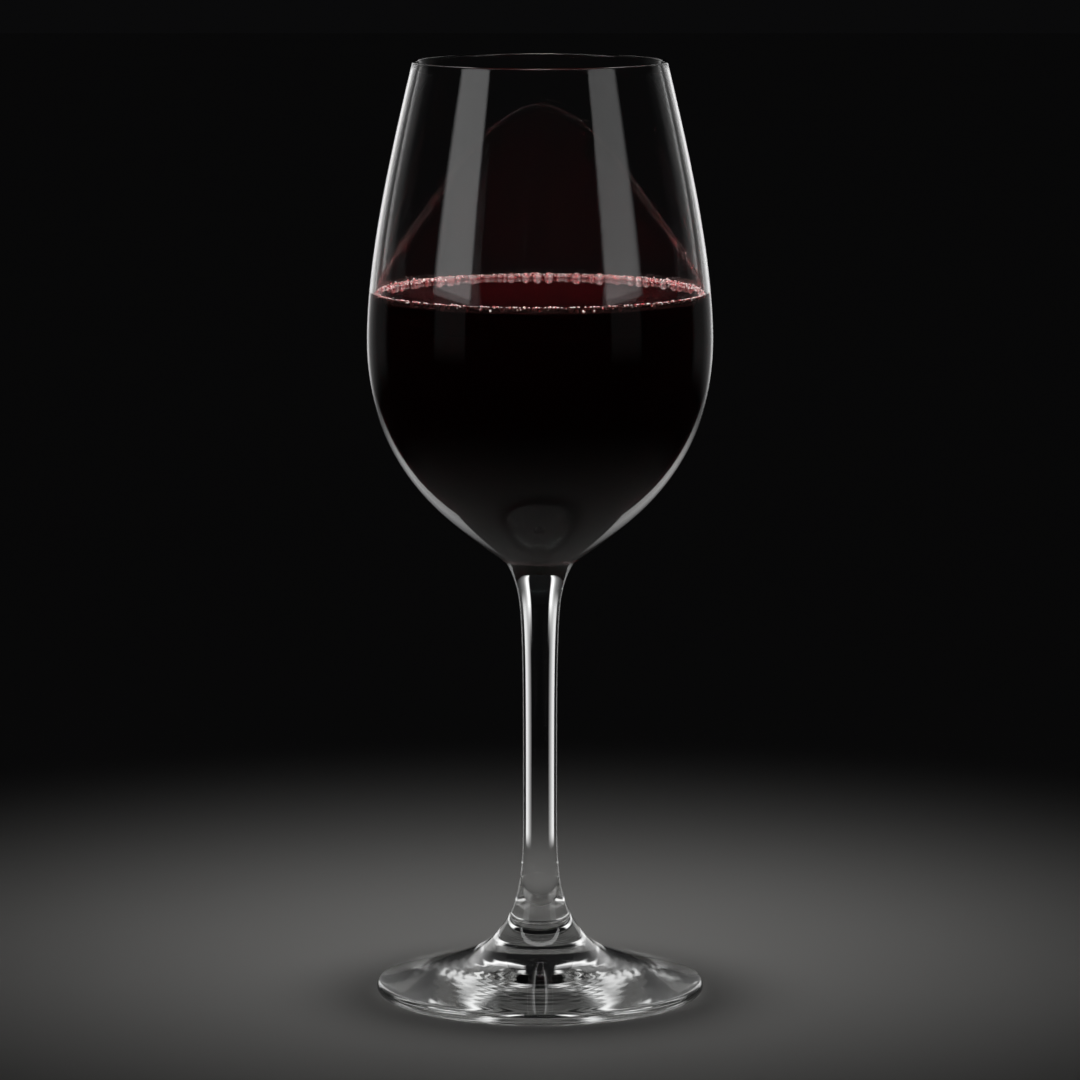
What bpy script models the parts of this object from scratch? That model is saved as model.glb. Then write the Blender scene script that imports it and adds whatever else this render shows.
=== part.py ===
"""A stemmed glass of red wine, as two turned solids: the glass in one piece, and the wine in its bowl.

Metres, +Z up. The origin is the centre of the foot, on the surface that the glass stands on.
"""
import math
from dataclasses import dataclass

import bpy

# Driving dimensions
HEIGHT = 0.220
RIM_RADIUS = 0.02987
BOWL_RADIUS = 0.04055
STEM_RADIUS = 0.00404
FOOT_RADIUS = 0.03867

# Heights above the table
BELLY_HEIGHT = 0.1548
BOWL_FLOOR_HEIGHT = 0.1052
BOWL_BASE_HEIGHT = 0.1033
NECK_HEIGHT = 0.0927
WAIST_HEIGHT = 0.0467
FLARE_HEIGHT = 0.0133
WINE_LEVEL = 0.1655

# Radii where one curve of the outline hands over to the next
BOWL_BASE_RADIUS = 0.00924
NECK_RADIUS = 0.00488
FLARE_RADIUS = 0.01081

# Thicknesses of the glass
LIP_THICKNESS = 0.0010
BELLY_THICKNESS = 0.0013
FOOT_EDGE_THICKNESS = 0.0029

# Hollow under the foot, inside its flat resting ring
RESTING_RING_INNER_RADIUS = 0.0310
HOLLOW_HEIGHT = 0.0034

# Space left between the wine and the wall of the bowl
WINE_CLEARANCE = 0.0003

SEGMENTS = 60
MERGE_DISTANCE = 0.00005

# Headings along the outline, in degrees from straight outwards; the outline runs down the outer side
OUTWARDS = 0.0
STRAIGHT_UP = 90.0
STRAIGHT_DOWN = -90.0
RIM_HEADING = -76.4
BOWL_BASE_HEADING = -146.3
NECK_HEADING = -96.5
FLARE_HEADING = -47.2
FOOT_HEADING = -15.5


@dataclass
class Station:
    """A point of the outline: its radius, its height and the outline's heading there."""

    radius: float
    height: float
    heading: float

    def ahead(self, distance):
        """The point that lies the distance away, straight along the heading."""
        angle = math.radians(self.heading)
        return (self.radius + distance * math.cos(angle), self.height + distance * math.sin(angle))


def curve(start, end, start_pull, end_pull, pieces):
    """Points of a cubic curve from one station to the next, without the last one.

    Each pull is the length of that end's handle, as a part of the straight distance between the stations.
    """
    span = math.hypot(end.radius - start.radius, end.height - start.height)
    controls = (
        start.ahead(0.0),
        start.ahead(start_pull * span),
        end.ahead(-end_pull * span),
        end.ahead(0.0),
    )
    points = []
    for index in range(pieces):
        t = index / pieces
        weights = ((1 - t) ** 3, 3 * t * (1 - t) ** 2, 3 * t * t * (1 - t), t ** 3)
        radius = sum(weight * control[0] for weight, control in zip(weights, controls))
        height = sum(weight * control[1] for weight, control in zip(weights, controls))
        points.append((radius, height))
    return points


def round_edge(centre, radius, start_angle, crest_angle, end_angle, pieces):
    """Points of a round edge, without the last one, in as many pieces before its crest as after it.

    The angles are in degrees, and the crest is the edge's furthest point, which gets a point of its own.
    """
    points = []
    for first, last in ((start_angle, crest_angle), (crest_angle, end_angle)):
        for index in range(pieces):
            angle = math.radians(first + (last - first) * index / pieces)
            points.append((centre[0] + radius * math.cos(angle), centre[1] + radius * math.sin(angle)))
    return points


def station_on_arc(centre, radius, angle, heading):
    """The station where a curve meets a round edge at the angle, in degrees."""
    turn = math.radians(angle)
    return Station(centre[0] + radius * math.cos(turn), centre[1] + radius * math.sin(turn), heading)


LIP_RADIUS = LIP_THICKNESS / 2
LIP_CENTRE = (RIM_RADIUS - LIP_RADIUS, HEIGHT - LIP_RADIUS)
LIP_OUTER_ANGLE = RIM_HEADING + 90
LIP_INNER_ANGLE = RIM_HEADING + 270
EDGE_RADIUS = FOOT_EDGE_THICKNESS / 2
EDGE_CENTRE = (FOOT_RADIUS - EDGE_RADIUS, EDGE_RADIUS)
EDGE_TOP_ANGLE = FOOT_HEADING + 90


def inner_wall():
    """The inside of the bowl, from the middle of its floor up to the lip."""
    floor = Station(0.0, BOWL_FLOOR_HEIGHT, OUTWARDS)
    belly = Station(BOWL_RADIUS - BELLY_THICKNESS, BELLY_HEIGHT, STRAIGHT_UP)
    lip = station_on_arc(LIP_CENTRE, LIP_RADIUS, LIP_INNER_ANGLE, RIM_HEADING + 180)
    return curve(floor, belly, 0.20, 0.50, 12) + curve(belly, lip, 0.28, 0.36, 6)


def outer_side():
    """The outside of the glass, from the lip down the bowl, the stem and the foot."""
    lip = station_on_arc(LIP_CENTRE, LIP_RADIUS, LIP_OUTER_ANGLE, RIM_HEADING)
    belly = Station(BOWL_RADIUS, BELLY_HEIGHT, STRAIGHT_DOWN)
    base = Station(BOWL_BASE_RADIUS, BOWL_BASE_HEIGHT, BOWL_BASE_HEADING)
    neck = Station(NECK_RADIUS, NECK_HEIGHT, NECK_HEADING)
    waist = Station(STEM_RADIUS, WAIST_HEIGHT, STRAIGHT_DOWN)
    flare = Station(FLARE_RADIUS, FLARE_HEIGHT, FLARE_HEADING)
    edge = station_on_arc(EDGE_CENTRE, EDGE_RADIUS, EDGE_TOP_ANGLE, FOOT_HEADING)
    bowl = curve(lip, belly, 0.36, 0.28, 6) + curve(belly, base, 0.49, 0.23, 9)
    stem = curve(base, neck, 0.20, 0.45, 5) + curve(neck, waist, 0.17, 0.43, 3)
    foot = curve(waist, flare, 0.48, 0.30, 5) + curve(flare, edge, 0.24, 0.37, 5)
    return bowl + stem + foot


def underside():
    """The foot's flat resting ring and the shallow hollow inside it, in to the axis."""
    ring = Station(RESTING_RING_INNER_RADIUS, 0.0, 180.0)
    middle = Station(0.0, HOLLOW_HEIGHT, 180.0)
    return curve(ring, middle, 0.42, 0.42, 5) + [(0.0, HOLLOW_HEIGHT)]


def glass_outline():
    """The glass's whole outline: up the inner wall, over the lip, down the outer side and in below."""
    lip = round_edge(LIP_CENTRE, LIP_RADIUS, LIP_INNER_ANGLE, 90.0, LIP_OUTER_ANGLE, 2)
    foot_edge = round_edge(EDGE_CENTRE, EDGE_RADIUS, EDGE_TOP_ANGLE, 0.0, -90.0, 2)
    resting_ring = [(EDGE_CENTRE[0], 0.0)]
    return inner_wall() + lip + outer_side() + foot_edge + resting_ring + underside()


def wine_outline():
    """The wine's outline: out across its level surface, then down beside the wall to the floor."""
    wall = inner_wall()
    side = [(0.0, BOWL_FLOOR_HEIGHT + WINE_CLEARANCE)]
    for below, point, above in zip(wall, wall[1:], wall[2:]):
        along = (above[0] - below[0], above[1] - below[1])
        length = math.hypot(*along)
        radius = point[0] - WINE_CLEARANCE * along[1] / length
        height = point[1] + WINE_CLEARANCE * along[0] / length
        if height >= WINE_LEVEL:
            share = (WINE_LEVEL - side[-1][1]) / (height - side[-1][1])
            side.append((side[-1][0] + share * (radius - side[-1][0]), WINE_LEVEL))
            break
        side.append((radius, height))
    return [(0.0, WINE_LEVEL)] + side[::-1]


def turned_solid(name, outline, material):
    """A solid of revolution about +Z, from an outline that begins and ends on the axis."""
    mesh = bpy.data.meshes.new(name)
    vertices = [(radius, 0.0, height) for radius, height in outline]
    edges = [(index, index + 1) for index in range(len(vertices) - 1)]
    mesh.from_pydata(vertices, edges, [])
    mesh.materials.append(material)
    solid = bpy.data.objects.new(name, mesh)
    bpy.context.collection.objects.link(solid)
    screw = solid.modifiers.new("Turn", "SCREW")
    screw.axis = "Z"
    screw.angle = math.tau
    screw.steps = SEGMENTS
    screw.render_steps = SEGMENTS
    screw.use_merge_vertices = True
    screw.merge_threshold = MERGE_DISTANCE
    screw.use_smooth_shade = True
    return solid


def clear_glass():
    """Colourless crystal glass."""
    material = bpy.data.materials.new("clear_glass")
    material.use_nodes = True
    shader = material.node_tree.nodes["Principled BSDF"]
    shader.inputs["Base Color"].default_value = (0.96, 0.97, 0.97, 1.0)
    shader.inputs["Roughness"].default_value = 0.02
    shader.inputs["Metallic"].default_value = 0.0
    shader.inputs["IOR"].default_value = 1.52
    shader.inputs["Transmission Weight"].default_value = 1.0
    return material


def red_wine():
    """Deep garnet red wine, almost black in the depth of the bowl."""
    material = bpy.data.materials.new("red_wine")
    material.use_nodes = True
    shader = material.node_tree.nodes["Principled BSDF"]
    shader.inputs["Base Color"].default_value = (0.10, 0.004, 0.010, 1.0)
    shader.inputs["Roughness"].default_value = 0.03
    shader.inputs["Metallic"].default_value = 0.0
    shader.inputs["IOR"].default_value = 1.34
    return material


def build():
    """Clear the scene, then make the glass and the wine that it holds."""
    for old in list(bpy.data.objects):
        bpy.data.objects.remove(old, do_unlink=True)
    turned_solid("glass", glass_outline(), clear_glass())
    turned_solid("wine", wine_outline(), red_wine())


build()
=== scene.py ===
"""A stemmed glass of red wine, with small bubbles round the edge of the wine.

Metres, +Z up, with the glass standing on the floor at the origin. The glass and the wine are turned about
+Z from curves that run through named stations, and the bubbles are small balls laid along the wine's edge.
"""

import math

import bpy
import numpy as np
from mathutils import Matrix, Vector


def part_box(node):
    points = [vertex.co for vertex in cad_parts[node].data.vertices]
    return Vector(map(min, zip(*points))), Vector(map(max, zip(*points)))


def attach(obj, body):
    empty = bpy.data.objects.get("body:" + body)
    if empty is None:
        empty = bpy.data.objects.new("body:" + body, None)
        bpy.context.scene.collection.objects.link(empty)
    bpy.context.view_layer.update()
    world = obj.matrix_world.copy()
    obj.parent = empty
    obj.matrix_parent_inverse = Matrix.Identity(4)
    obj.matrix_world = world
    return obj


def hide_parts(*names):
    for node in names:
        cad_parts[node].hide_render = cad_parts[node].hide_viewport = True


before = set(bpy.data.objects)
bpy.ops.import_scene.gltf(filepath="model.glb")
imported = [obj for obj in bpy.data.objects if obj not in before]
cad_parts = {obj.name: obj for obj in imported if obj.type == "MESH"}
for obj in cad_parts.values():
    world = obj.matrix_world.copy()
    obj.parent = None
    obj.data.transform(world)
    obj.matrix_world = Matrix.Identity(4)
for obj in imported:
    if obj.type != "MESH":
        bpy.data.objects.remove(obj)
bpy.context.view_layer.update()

# ---------------------------------------------------------------- sizes
GLASS_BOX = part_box("glass")
WINE_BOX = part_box("wine")
HEIGHT = GLASS_BOX[1][2]
BOWL_RADIUS = GLASS_BOX[1][0]
WINE_LEVEL = WINE_BOX[1][2]

RIM_RADIUS = 0.02987
STEM_RADIUS = 0.00404
FOOT_RADIUS = 0.03867
BELLY_HEIGHT = 0.1548
BOWL_FLOOR_HEIGHT = 0.1052
BOWL_BASE = (0.00924, 0.1033)
NECK = (0.00488, 0.0927)
WAIST_HEIGHT = 0.0467
FLARE = (0.01081, 0.0133)
LIP_THICKNESS = 0.0010
BELLY_THICKNESS = 0.0013
FOOT_EDGE_THICKNESS = 0.0029
RESTING_RING_INNER_RADIUS = 0.0310
HOLLOW_HEIGHT = 0.0034
RIPPLE_HEIGHT = 0.000008
RIPPLE_SPACING = 0.0024

WALL_OVERLAP = 0.00012
MENISCUS_RISE = 0.0010
MENISCUS_REACH = 0.0008
WALL_CLEARANCE = 1.06
BIG_DOME_SHARE = 0.26

GLASS_SEGMENTS = 224
WINE_SEGMENTS = 256

GLASS_IOR = 1.52
WINE_IOR = 1.34

# headings along the outer side, in degrees from straight outwards
RIM_HEADING = -76.4
BOWL_BASE_HEADING = -146.3
NECK_HEADING = -96.5
FLARE_HEADING = -47.2
FOOT_HEADING = -15.5

LIP_RADIUS = LIP_THICKNESS / 2
LIP_CENTRE = (RIM_RADIUS - LIP_RADIUS, HEIGHT - LIP_RADIUS)
EDGE_RADIUS = FOOT_EDGE_THICKNESS / 2
EDGE_CENTRE = (FOOT_RADIUS - EDGE_RADIUS, EDGE_RADIUS)


# ---------------------------------------------------------------- outlines
def heading(degrees):
    """The unit vector of a heading, (cos a, sin a)."""
    angle = math.radians(degrees)
    return np.array([math.cos(angle), math.sin(angle)])


def curve(start, start_heading, end, end_heading, start_pull, end_pull, pieces):
    """A cubic curve between two points of an outline, without its last point.

    p(t) = (1-t)^3 a + 3t(1-t)^2 b + 3t^2(1-t) c + t^3 d, where a and d are the ends, b lies ahead of a
    along its heading and c lies behind d, each by its pull times the straight distance from a to d.
    """
    first = np.array(start)
    last = np.array(end)
    span = np.linalg.norm(last - first)
    near = first + start_pull * span * heading(start_heading)
    far = last - end_pull * span * heading(end_heading)
    t = np.arange(pieces)[:, None] / pieces
    return (1 - t) ** 3 * first + 3 * t * (1 - t) ** 2 * near + 3 * t * t * (1 - t) * far + t ** 3 * last


def arc(centre, radius, start_angle, end_angle, pieces):
    """A round edge, centre + radius (cos a, sin a), with a running evenly between two angles in degrees."""
    angle = np.radians(start_angle + (end_angle - start_angle) * np.arange(pieces) / pieces)
    return np.array(centre) + radius * np.stack([np.cos(angle), np.sin(angle)], axis=1)


def on_arc(centre, radius, degrees):
    """The point of a round edge at an angle."""
    return np.array(centre) + radius * heading(degrees)


def inner_wall():
    """The inside of the bowl, from the middle of its floor up to the lip."""
    floor = (0.0, BOWL_FLOOR_HEIGHT)
    belly = (BOWL_RADIUS - BELLY_THICKNESS, BELLY_HEIGHT)
    lip = on_arc(LIP_CENTRE, LIP_RADIUS, RIM_HEADING + 270)
    lower = curve(floor, 0, belly, 90, 0.20, 0.50, 70)
    upper = curve(belly, 90, lip, RIM_HEADING + 180, 0.28, 0.36, 40)
    return np.concatenate([lower, upper])


def outer_side():
    """The outside of the glass, from the lip down the bowl, the stem and the foot."""
    lip = on_arc(LIP_CENTRE, LIP_RADIUS, RIM_HEADING + 90)
    belly = (BOWL_RADIUS, BELLY_HEIGHT)
    waist = (STEM_RADIUS, WAIST_HEIGHT)
    edge = on_arc(EDGE_CENTRE, EDGE_RADIUS, FOOT_HEADING + 90)
    return np.concatenate([
        curve(lip, RIM_HEADING, belly, -90, 0.36, 0.28, 40),
        curve(belly, -90, BOWL_BASE, BOWL_BASE_HEADING, 0.49, 0.23, 50),
        curve(BOWL_BASE, BOWL_BASE_HEADING, NECK, NECK_HEADING, 0.20, 0.45, 24),
        curve(NECK, NECK_HEADING, waist, -90, 0.17, 0.43, 20),
        curve(waist, -90, FLARE, FLARE_HEADING, 0.48, 0.30, 26),
        curve(FLARE, FLARE_HEADING, edge, FOOT_HEADING, 0.24, 0.37, 30),
    ])


def underside():
    """The foot's flat resting ring and the shallow hollow inside it, in to the axis.

    Pressing has left faint rings in the hollow, height * 4 s (1 - s) cos(tau * radius / spacing), with s
    the share of the way out, so they are strongest halfway out and gone at the resting ring.
    """
    ring = (RESTING_RING_INNER_RADIUS, 0.0)
    middle = (0.0, HOLLOW_HEIGHT)
    hollow = curve(ring, 180, middle, 180, 0.42, 0.42, 110)
    share = hollow[:, 0] / RESTING_RING_INNER_RADIUS
    ripple = np.cos(math.tau * hollow[:, 0] / RIPPLE_SPACING)
    hollow[:, 1] += RIPPLE_HEIGHT * ripple * 4 * share * (1 - share)
    return np.concatenate([[(EDGE_CENTRE[0], 0.0)], hollow, [middle]])


def glass_outline():
    """Up the inner wall, over the rounded lip, down the outer side, round the foot's edge and in below."""
    lip = arc(LIP_CENTRE, LIP_RADIUS, RIM_HEADING + 270, RIM_HEADING + 90, 14)
    crest = np.argmin(np.abs(lip[:, 0] - LIP_CENTRE[0]))
    lip[crest] = (LIP_CENTRE[0], HEIGHT)
    foot_edge = arc(EDGE_CENTRE, EDGE_RADIUS, FOOT_HEADING + 90, -90, 18)
    return np.concatenate([inner_wall(), lip, outer_side(), foot_edge, underside()])


def surface_height(distance):
    """The wine's surface at a distance from the wall: level, but up by rise * exp(-distance / reach)."""
    return WINE_LEVEL + MENISCUS_RISE * np.exp(-distance / MENISCUS_REACH)


def wine_outline():
    """The wine from the middle of its surface out to the wall, then down the wall to the floor of the bowl.

    The surface is level except near the wall, where it climbs by rise * exp(-distance / reach). Its side is
    the inner wall moved outwards by the overlap, so that no air is left between the wine and the glass.
    """
    wall = inner_wall()
    along = np.gradient(wall, axis=0)
    outward = np.stack([along[:, 1], -along[:, 0]], axis=1)
    side = wall + WALL_OVERLAP * outward / np.linalg.norm(outward, axis=1)[:, None]
    side[0] = (0.0, BOWL_FLOOR_HEIGHT - WALL_OVERLAP)
    top = WINE_LEVEL + MENISCUS_RISE
    top_radius = np.interp(top, side[:, 1], side[:, 0])
    side = np.concatenate([side[side[:, 1] < top - 0.0002], [(top_radius, top)]])
    wall_radius = np.interp(WINE_LEVEL, wall[:, 1], wall[:, 0])
    distance = (np.linspace(1, 0, 60, endpoint=False) ** 2.2) * wall_radius
    surface = np.stack([wall_radius - distance, surface_height(distance)], axis=1)
    surface[0] = (0.0, WINE_LEVEL)
    return np.concatenate([surface, side[::-1]])


# ---------------------------------------------------------------- meshes
def piece(name, vertices, quads, triangles, material):
    """A smooth-shaded object at the origin, from arrays of vertices, four-sided faces and triangles."""
    mesh = bpy.data.meshes.new(name)
    mesh.from_pydata(vertices, [], quads.tolist() + triangles.tolist())
    mesh.polygons.foreach_set("use_smooth", np.ones(len(mesh.polygons), bool))
    mesh.materials.append(material)
    mesh.update()
    made = bpy.data.objects.new(name, mesh)
    bpy.context.scene.collection.objects.link(made)
    return made


def turned(outline, segments):
    """Vertices, quads and triangles of a solid of revolution about +Z.

    Ring i, step j lies at (r_i cos a_j, r_i sin a_j, z_i), with a_j = tau j / segments. The outline's two
    ends are on the axis and close the solid with fans of triangles.
    """
    angle = math.tau * np.arange(segments) / segments
    rings = outline[1:-1]
    radius = rings[:, 0, None]
    ring_points = np.stack([
        radius * np.cos(angle),
        radius * np.sin(angle),
        np.broadcast_to(rings[:, 1, None], (len(rings), segments)),
    ], axis=2).reshape(-1, 3)
    poles = np.array([[0, 0, outline[0][1]], [0, 0, outline[-1][1]]])
    vertices = np.concatenate([ring_points, poles])
    step = np.arange(segments)
    after = (step + 1) % segments
    ring = np.arange(len(rings) - 1)[:, None] * segments
    quads = np.stack([ring + step, ring + step + segments, ring + after + segments, ring + after], axis=2)
    first_pole = len(ring_points)
    last_ring = (len(rings) - 1) * segments
    first_fan = np.stack([np.full(segments, first_pole), step, after], axis=1)
    last_fan = np.stack([np.full(segments, first_pole + 1), last_ring + after, last_ring + step], axis=1)
    return vertices, quads.reshape(-1, 4), np.concatenate([first_fan, last_fan])


def ball(segments, rings):
    """Vertices and faces of a unit ball: (sin b cos a, sin b sin a, cos b), turned from pole to pole."""
    polar = np.pi * np.arange(rings + 1) / rings
    return turned(np.stack([np.sin(polar), np.cos(polar)], axis=1), segments)


def beads(centres, radii, segments, rings):
    """Vertices, quads and triangles of many small balls: each vertex is centre + radius * unit ball."""
    unit, quads, triangles = ball(segments, rings)
    vertices = centres[:, None] + radii[:, None, None] * unit
    first = np.arange(len(centres))[:, None, None] * len(unit)
    return vertices.reshape(-1, 3), (first + quads).reshape(-1, 4), (first + triangles).reshape(-1, 3)


# ---------------------------------------------------------------- bubbles
def beads_along_edge(seed, start, end, radius_at, gap, stand_off, afloat, spread=0.0):
    """Centres and radii of bubbles laid side by side along the wine's edge between two angles in radians.

    Each stands clear of the wall, by up to the stand-off further in, or with a stand-off below zero is
    pressed against it. Its centre is above the wine's surface there by its radius times afloat, more or
    less by the spread. The step from one to the next is gap times the sum of their radii.
    """
    random = np.random.default_rng(seed)
    wall = inner_wall()
    centres = []
    radii = []
    angle = start
    while angle < end:
        radius = radius_at(angle, random)
        distance = radius * WALL_CLEARANCE + stand_off * random.uniform(0, 1)
        height = surface_height(distance) + radius * afloat + spread * random.uniform(-1, 1)
        ring_radius = np.interp(height, wall[:, 1], wall[:, 0]) - distance
        angle += radius * gap / ring_radius
        centres.append((ring_radius * math.cos(angle), ring_radius * math.sin(angle), height))
        radii.append(radius)
        angle += radius * gap / ring_radius
    return np.array(centres), np.array(radii)


def dome_radius(angle, random):
    """The radius of a dome at the back of the glass: now and then a big one, with small ones between."""
    middle = 0.35 + 0.65 * max(0.0, math.sin(angle)) ** 0.7
    if random.random() < BIG_DOME_SHARE:
        return random.uniform(0.00085, 0.00125) * middle
    return random.uniform(0.00028, 0.00062) * middle


def fine_radius(angle, random):
    """The radius of a fine bubble, alike all round."""
    return 0.00022 * random.lognormal(0.0, 0.28)


def front_radius(angle, random):
    """The radius of a bubble at the front, finest towards the sides."""
    return 0.00034 * random.lognormal(0.0, 0.30) * (0.55 + 0.45 * max(0.0, -math.sin(angle)) ** 2)


def dome_rows():
    """The larger domes along the back of the wine's edge."""
    return [beads_along_edge(12, 0.30, math.pi - 0.30, dome_radius, gap=1.0, stand_off=0.0003, afloat=0.05)]


def fine_rows():
    """The fine bubbles: a ring all round, piles and rafts at the two sides, and two rows at the front."""
    ring = {"gap": 1.12, "stand_off": 0.0003, "afloat": 0.5, "spread": 0.0002}
    pile = {"gap": 1.0, "stand_off": 0.0012, "afloat": 1.3, "spread": 0.0003}
    raft = {"gap": 0.9, "stand_off": 0.0014, "afloat": 0.4, "spread": 0.0002}
    on_wall = {"gap": 1.3, "stand_off": -0.00028, "afloat": -0.5, "spread": 0.0004}
    return [
        beads_along_edge(7, 0.0, math.tau, fine_radius, **ring),
        beads_along_edge(21, 0.1, 0.9, fine_radius, **pile),
        beads_along_edge(22, 2.2, 3.0, fine_radius, **pile),
        beads_along_edge(5, 2.3, 3.5, fine_radius, **raft),
        beads_along_edge(6, -0.3, 0.8, fine_radius, **raft),
        beads_along_edge(9, 3.3, 6.1, front_radius, **ring),
        beads_along_edge(3, 3.3, 6.1, front_radius, **on_wall),
    ]


# ---------------------------------------------------------------- shader maths
class Signal:
    """A value in a shader tree. Arithmetic on it adds Math nodes."""

    def __init__(self, tree, socket=None):
        self.tree = tree
        self.socket = socket

    def node(self, kind, settings=None, values=None, output=0):
        """Add any node: first its settings, then its sockets' values or links. One output comes back."""
        made = self.tree.nodes.new(kind)
        for name, setting in (settings or {}).items():
            if name == "stops":
                ramp = made.color_ramp.elements
                while len(ramp) < len(setting):
                    ramp.new(1.0)
                for element, (place, colour) in zip(ramp, setting):
                    element.position = place
                    element.color = colour
            else:
                setattr(made, name, setting)
        for name, value in (values or {}).items():
            socket = made.inputs[name]
            if kind == "ShaderNodeMix":
                socket = [each for each in made.inputs if each.name == name and each.enabled][0]
            if isinstance(value, Signal):
                self.tree.links.new(value.socket, socket)
            else:
                socket.default_value = value
        if kind == "ShaderNodeMix":
            return Signal(self.tree, [each for each in made.outputs if each.enabled][0])
        return Signal(self.tree, made.outputs[output] if made.outputs else None)

    def between(self, value, low, high):
        """A smooth step of a value, 0 up to low and 1 from high."""
        return self.node("ShaderNodeMapRange", {"interpolation_type": "SMOOTHSTEP"}, {
            "Value": value, "From Min": low, "From Max": high,
        })

    def blend(self, factor, first, second):
        """A mix of two colours."""
        values = {"Factor": factor, "A": first, "B": second}
        return self.node("ShaderNodeMix", {"data_type": "RGBA"}, values)

    def math(self, operation, first, second=0.0):
        """A Math node on one or two values."""
        return self.node("ShaderNodeMath", {"operation": operation}, {0: first, 1: second})

    def __add__(self, other):
        return self.math("ADD", self, other)

    __radd__ = __add__

    def __sub__(self, other):
        return self.math("SUBTRACT", self, other)

    def __rsub__(self, other):
        return self.math("SUBTRACT", other, self)

    def __mul__(self, other):
        return self.math("MULTIPLY", self, other)

    __rmul__ = __mul__


def finish_named(name):
    """An empty material and the Signal that adds nodes to it."""
    material = bpy.data.materials.new(name)
    material.use_nodes = True
    material.node_tree.nodes.clear()
    return material, Signal(material.node_tree)


def place_on_piece(shader):
    """A point's place on its piece, its height above the floor and its distance from the axis."""
    place = shader.node("ShaderNodeTexCoord", output="Object")
    height = shader.node("ShaderNodeSeparateXYZ", None, {"Vector": place}, output="Z")
    level = {0: place, 1: (1.0, 1.0, 0.0)}
    level_place = shader.node("ShaderNodeVectorMath", {"operation": "MULTIPLY"}, level)
    radius = shader.node("ShaderNodeVectorMath", {"operation": "LENGTH"}, {0: level_place}, output="Value")
    return place, height, radius


def clear_glass():
    """Colourless crystal: polished, with the faint waves that blowing and pressing leave in it.

    The pressed hollow under the foot is a little less smooth, so it blurs what shows in it.
    """
    material, shader = finish_named("clear_glass")
    place, height, radius = place_on_piece(shader)
    smear = shader.node("ShaderNodeTexNoise", None, {"Vector": place, "Scale": 90.0, "Detail": 4.0})
    drawn = shader.node("ShaderNodeMapping", None, {"Vector": place, "Scale": (1.0, 1.0, 0.35)})
    waves = shader.node("ShaderNodeTexNoise", None, {"Vector": drawn, "Scale": 55.0, "Detail": 2.0})
    bump = shader.node("ShaderNodeBump", None, {"Height": waves, "Strength": 0.5, "Distance": 0.00003})
    ring = RESTING_RING_INNER_RADIUS
    low = 1 - shader.between(height, HOLLOW_HEIGHT, HOLLOW_HEIGHT + 0.0003)
    inward = 1 - shader.between(radius, ring - 0.001, ring + 0.002)
    surface = shader.node("ShaderNodeBsdfPrincipled", None, {
        "Base Color": (1.0, 1.0, 1.0, 1.0),
        "Roughness": smear * (0.012 + low * inward * 0.13),
        "IOR": GLASS_IOR,
        "Transmission Weight": 1.0,
        "Normal": bump,
    })
    depth = {"Color": (0.55, 0.85, 0.70, 1.0), "Density": 0.7}
    inside = shader.node("ShaderNodeVolumeAbsorption", None, depth)
    shader.node("ShaderNodeOutputMaterial", None, {"Surface": surface, "Volume": inside})
    return material


def red_wine():
    """Deep garnet wine: the colour is taken up with depth, so it is ruby where thin and black where deep.

    Its colour is painted with light and shade: near black against the glass as painted shade, a painted
    ruby glow over the open surface where light gets in, and a painted pink glow where it climbs the wall as
    a thin edge.
    """
    material, shader = finish_named("red_wine")
    place, height, radius = place_on_piece(shader)
    haze = shader.node("ShaderNodeTexNoise", None, {"Vector": place, "Scale": 120.0, "Detail": 2.0})
    uneven = height + (haze - 0.5) * 0.0006
    painted_glow_top = shader.between(height, WINE_LEVEL - 0.0004, WINE_LEVEL - 0.0001)
    edge_glow_by_wall = shader.between(radius, 0.0372, 0.0386)
    # painted glow: pink where the wine climbs the wall as a thin edge, for light shining through it
    edge = shader.between(uneven, WINE_LEVEL - 0.0008, WINE_LEVEL) * edge_glow_by_wall
    # painted glow and shade: a bright ruby colour on the open surface where light gets in, and a near-black
    # one on the sides
    body = shader.blend(painted_glow_top, (0.10, 0.0, 0.003, 1.0), (0.95, 0.012, 0.03, 1.0))
    surface = shader.node("ShaderNodeBsdfPrincipled", None, {
        "Base Color": shader.blend(edge, body, (0.80, 0.36, 0.34, 1.0)),
        "Roughness": haze * 0.01,
        "IOR": WINE_IOR,
        "Specular Tint": (0.0, 0.0, 0.0, 1.0),
        "Transmission Weight": 0.90,
    })
    depth = {"Color": (0.88, 0.0, 0.20, 1.0), "Density": 900.0}
    inside = shader.node("ShaderNodeVolumeAbsorption", None, depth)
    shader.node("ShaderNodeOutputMaterial", None, {"Surface": surface, "Volume": inside})
    return material


def bubble_film(name, clearness, grain, sparkle_range, deep, light):
    """The film of wine round a bubble: glossy and see-through, with painted pink-white highlights that come
    and go.

    The painted highlights' grain is in patches per metre, and their colour goes from deep to light over its
    range.
    """
    material, shader = finish_named(name)
    place = shader.node("ShaderNodeTexCoord", output="Object")
    cloud = shader.node("ShaderNodeTexNoise", None, {"Vector": place, "Scale": grain, "Detail": 1.0})
    painted_sparkle = shader.between(cloud, *sparkle_range)
    surface = shader.node("ShaderNodeBsdfPrincipled", None, {
        # painted highlight: pale pink-white patches in the base colour stand in for the bubbles' glints
        "Base Color": shader.blend(painted_sparkle, deep, light),
        "Roughness": 0.02 + 0.04 * painted_sparkle,
        "IOR": WINE_IOR,
        "Transmission Weight": clearness,
    })
    shader.node("ShaderNodeOutputMaterial", None, {"Surface": surface})
    return material


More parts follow.
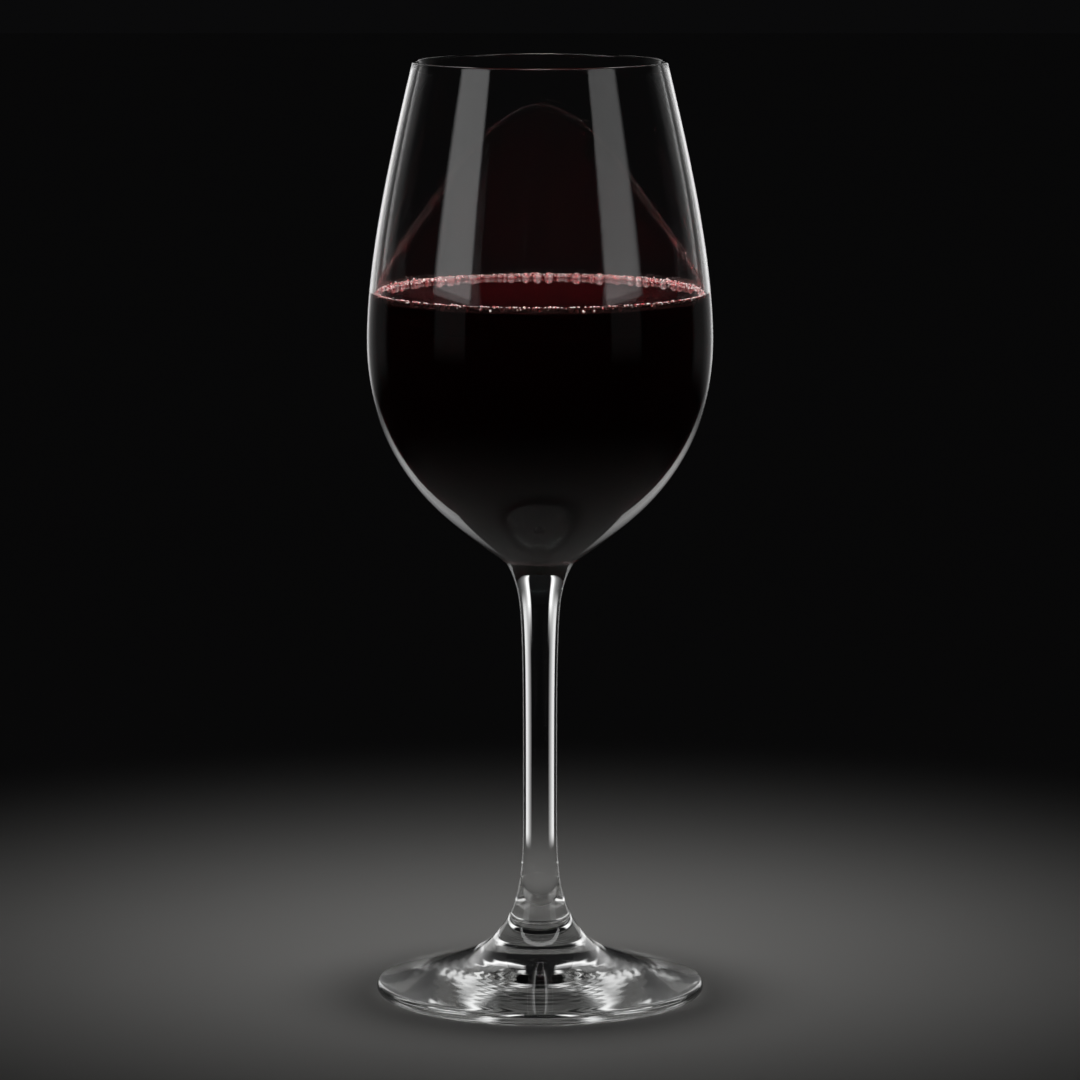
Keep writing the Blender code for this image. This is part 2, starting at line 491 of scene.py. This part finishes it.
def dome_film():
    """A dome's film: nearly clear, with wide soft painted highlights."""
    return bubble_film(
        "dome_film", clearness=0.87, grain=1200.0, sparkle_range=(0.35, 0.70),
        deep=(0.90, 0.32, 0.32, 1.0), light=(1.0, 0.90, 0.88, 1.0),
    )


def fine_film():
    """A fine bubble's film: cloudier, with small painted highlights, bright spots on deep red."""
    return bubble_film(
        "bubble_film", clearness=0.60, grain=2500.0, sparkle_range=(0.43, 0.55),
        deep=(0.55, 0.05, 0.06, 1.0), light=(1.0, 0.90, 0.87, 1.0),
    )


def pale_floor():
    """A plain pale table, very slightly mottled."""
    material, shader = finish_named("pale_floor")
    place = shader.node("ShaderNodeTexCoord", output="Object")
    mottle = shader.node("ShaderNodeTexNoise", None, {"Vector": place, "Scale": 6.0, "Detail": 3.0})
    colour = shader.blend(mottle, (0.72, 0.71, 0.69, 1.0), (0.78, 0.77, 0.75, 1.0))
    surface = shader.node("ShaderNodeBsdfPrincipled", None, {"Base Color": colour, "Roughness": 0.6})
    shader.node("ShaderNodeOutputMaterial", None, {"Surface": surface})
    return material


# ---------------------------------------------------------------- studio
FLOOR_SIZE = 8.0
FLOOR_GAP = 0.00005
SKIRT_HEIGHT = 0.225

# a panel's share of its brightness at places along its width
EVEN = ((0.0, 0.0), (0.06, 1.0), (0.90, 1.0), (1.0, 0.0))
STEM_GLOW = ((0.0, 0.0), (0.06, 1.0), (0.42, 0.9), (0.58, 0.58), (0.75, 0.36), (0.92, 0.12), (1.0, 0.0))
BOWL_GLOW = (
    (0.0, 0.0), (0.12, 0.04), (0.38, 0.04), (0.54, 0.09), (0.71, 0.21),
    (0.79, 0.5), (0.86, 1.0), (0.94, 1.0), (1.0, 0.0),
)


def soft_light(name, shape, width, depth, brightness, receivers=None, spread=180):
    """An area light that the camera doesn't see, and the group that it falls on or leaves out.

    Its power is pi * brightness * the area of its face. Its spread, in degrees, keeps its light together.
    """
    light = bpy.data.lights.new(name, "AREA")
    light.shape = shape
    light.size = width
    light.size_y = depth
    light.spread = math.radians(spread)
    light.energy = math.pi * brightness * width * depth * (1.0 if shape == "RECTANGLE" else math.pi / 4)
    made = bpy.data.objects.new(name, light)
    made.visible_camera = False
    made.light_linking.receiver_collection = receivers
    bpy.context.scene.collection.objects.link(made)
    return made


def panel(name, azimuth, heights, width, distance, brightness, unlit, across=EVEN, rise=0.01, fall=0.99):
    """An upright panel of soft light that faces the glass and leaves the unlit group dark.

    Its azimuth is in degrees from straight towards the viewer, positive to the right, and heights are those
    of its lower and upper edges. Across lists its share of the brightness at places from 0 to 1 along its
    width, from the edge nearer the viewer to the far one. It grows bright from its lower edge up to the
    share of its height that rise gives, and dims from fall to its upper edge.
    """
    low, high = heights
    turn = math.radians(azimuth)
    made = soft_light(name, "RECTANGLE", width, high - low, brightness, unlit)
    made.location = (distance * math.sin(turn), -distance * math.cos(turn), (low + high) / 2)
    made.rotation_euler = (math.radians(90), 0.0, turn)
    made.data.use_nodes = True
    tree = made.data.node_tree
    shader = Signal(tree)
    place = shader.node("ShaderNodeNewGeometry", output="Parametric")
    along = shader.node("ShaderNodeSeparateXYZ", None, {"Vector": place}, output="X")
    up = shader.node("ShaderNodeSeparateXYZ", None, {"Vector": place}, output="Y")
    if azimuth < 0:
        along = 1 - along
    stops = [(at, (share, share, share, 1.0)) for at, share in across]
    share = shader.node("ShaderNodeValToRGB", {"stops": stops}, {"Fac": along})
    strength = shader.between(up, 0.0, rise) * (1 - shader.between(up, fall, 1.0))
    glow = shader.node("ShaderNodeEmission", None, {"Color": share, "Strength": strength})
    tree.links.new(glow.socket, tree.nodes["Light Output"].inputs["Surface"])


def aimed(made, place, target):
    """Put a light at a place and turn it towards a target."""
    made.location = place
    made.rotation_euler = (Vector(target) - Vector(place)).to_track_quat("-Z", "Y").to_euler()
    return made


def lighting_group(name, members, state):
    """A collection that says which objects a light falls on, or with EXCLUDE which it leaves out."""
    group = bpy.data.collections.new(name)
    for member in members:
        group.objects.link(member)
    for member in group.collection_objects:
        member.light_linking.link_state = state
    return group


def side_panels(unlit):
    """The panels in front at the two sides, whose light stands in two strips on the bowl.

    Each has a dim skirt down to the floor, so that its strip fades out below the wine's surface.
    """
    above = (SKIRT_HEIGHT, 0.85)
    below = (0.0, SKIRT_HEIGHT)
    panel("front_left_panel", -61, above, 0.48, 0.9, 1.10, unlit)
    panel("front_right_panel", 58, above, 0.46, 0.9, 0.75, unlit)
    panel("front_left_skirt", -61, below, 0.40, 0.9, 0.07, unlit, rise=0.60)
    panel("front_right_skirt", 58, below, 0.38, 0.9, 0.055, unlit, rise=0.60)


def back_panels(unlit):
    """The panels behind at the two sides, for the bright edges of the bowl and the stripes in the stem."""
    by_stem = (0.0, 0.125)
    by_bowl = (0.0, 0.80)
    for side, turn in (("left", -1), ("right", 1)):
        panel("stem_panel_" + side, turn * 148, by_stem, 0.055, 0.13, 0.95, unlit, STEM_GLOW, 0.08, 0.56)
        panel("bowl_panel_" + side, turn * 140, by_bowl, 0.467, 0.55, 1.2, unlit, BOWL_GLOW, 0.12)


def froth_lights(bubbles):
    """Small strong lights that fall only on the bubbles and reach them through the glass."""
    froth = lighting_group("bubbles_only", bubbles, "INCLUDE")
    wine_middle = (0.0, 0.0, 0.165)
    for name, place, size, brightness in (
        ("froth_light_left", (-0.40, -0.25, 0.32), 0.18, 55.0),
        ("froth_light_right", (0.40, -0.25, 0.32), 0.18, 55.0),
        ("froth_light_top", (0.0, -0.5, 0.6), 0.12, 80.0),
    ):
        made = aimed(soft_light(name, "DISK", size, size, brightness, froth), place, wine_middle)
        made.light_linking.blocker_collection = froth


def studio(bubbles):
    """The pale floor in a soft pool of light, the lights round the glass and the dim room behind."""
    corners = np.array([(-1, -1, 0), (1, -1, 0), (1, 1, 0), (-1, 1, 0)]) * FLOOR_SIZE / 2
    corners[:, 2] = -FLOOR_GAP
    floor = piece("floor", corners, np.array([(0, 1, 2, 3)]), np.array([]), pale_floor())
    unlit = lighting_group("floor_left_out", [floor], "EXCLUDE")
    side_panels(unlit)
    back_panels(unlit)
    froth_lights(bubbles)
    aimed(soft_light("key", "RECTANGLE", 2.20, 0.12, 3.0, unlit), (0.0, -0.29, 1.0), (0.0, 0.0, 0.01))
    aimed(soft_light("pool", "DISK", 0.24, 0.24, 0.22, spread=22), (0.0, 0.05, 0.9), (0.0, 0.05, 0.0))
    world = bpy.data.worlds.new("dim_room")
    world.use_nodes = True
    world.node_tree.nodes["Background"].inputs["Color"].default_value = (0.003, 0.003, 0.0032, 1.0)
    bpy.context.scene.world = world


def camera():
    """The viewpoint, a little above the glass and far enough away to keep it nearly undistorted."""
    distance = 1.3189
    height = 0.3010
    aim_height = 0.1078
    data = bpy.data.cameras.new("camera")
    data.sensor_width = 36.0
    data.lens = 189.5
    made = bpy.data.objects.new("camera", data)
    made.location = (0.0, -distance, height)
    pitch = math.atan2(height - aim_height, distance)
    made.rotation_euler = (math.radians(90) - pitch, 0.0, 0.0)
    bpy.context.scene.collection.objects.link(made)
    bpy.context.scene.camera = made


def render_quality():
    """Enough bounces for light to cross the bowl, the wine and the foot, with the noise cleaned."""
    scene = bpy.context.scene
    scene.cycles.max_bounces = 24
    scene.cycles.transmission_bounces = 24
    scene.cycles.glossy_bounces = 12
    scene.cycles.transparent_max_bounces = 16
    scene.cycles.use_denoising = True
    scene.view_settings.view_transform = "Standard"


# ---------------------------------------------------------------- the pieces
def build():
    """Make every piece, and say what each rides on, replaces and takes its finish from.

    The two pieces of bubbles come back, for the lights that fall on them alone.
    """
    glass = piece("glass_turned", *turned(glass_outline(), GLASS_SEGMENTS), clear_glass())
    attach(glass, "root")
    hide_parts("glass")

    wine = piece("wine_turned", *turned(wine_outline(), WINE_SEGMENTS), red_wine())
    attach(wine, "root")
    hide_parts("wine")

    bubbles = []
    for name, rows, fineness, film in (
        ("bubble_domes", dome_rows(), (12, 8), dome_film()),
        ("bubbles_fine", fine_rows(), (8, 6), fine_film()),
    ):
        centres = np.concatenate([row[0] for row in rows])
        radii = np.concatenate([row[1] for row in rows])
        froth = piece(name, *beads(centres, radii, *fineness), film)
        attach(froth, "root")
        bubbles.append(froth)
    fine = bubbles[1]
    fine.visible_glossy = False  # else the bowl's back wall shows them as a red line
    return bubbles


studio(build())
camera()
render_quality()
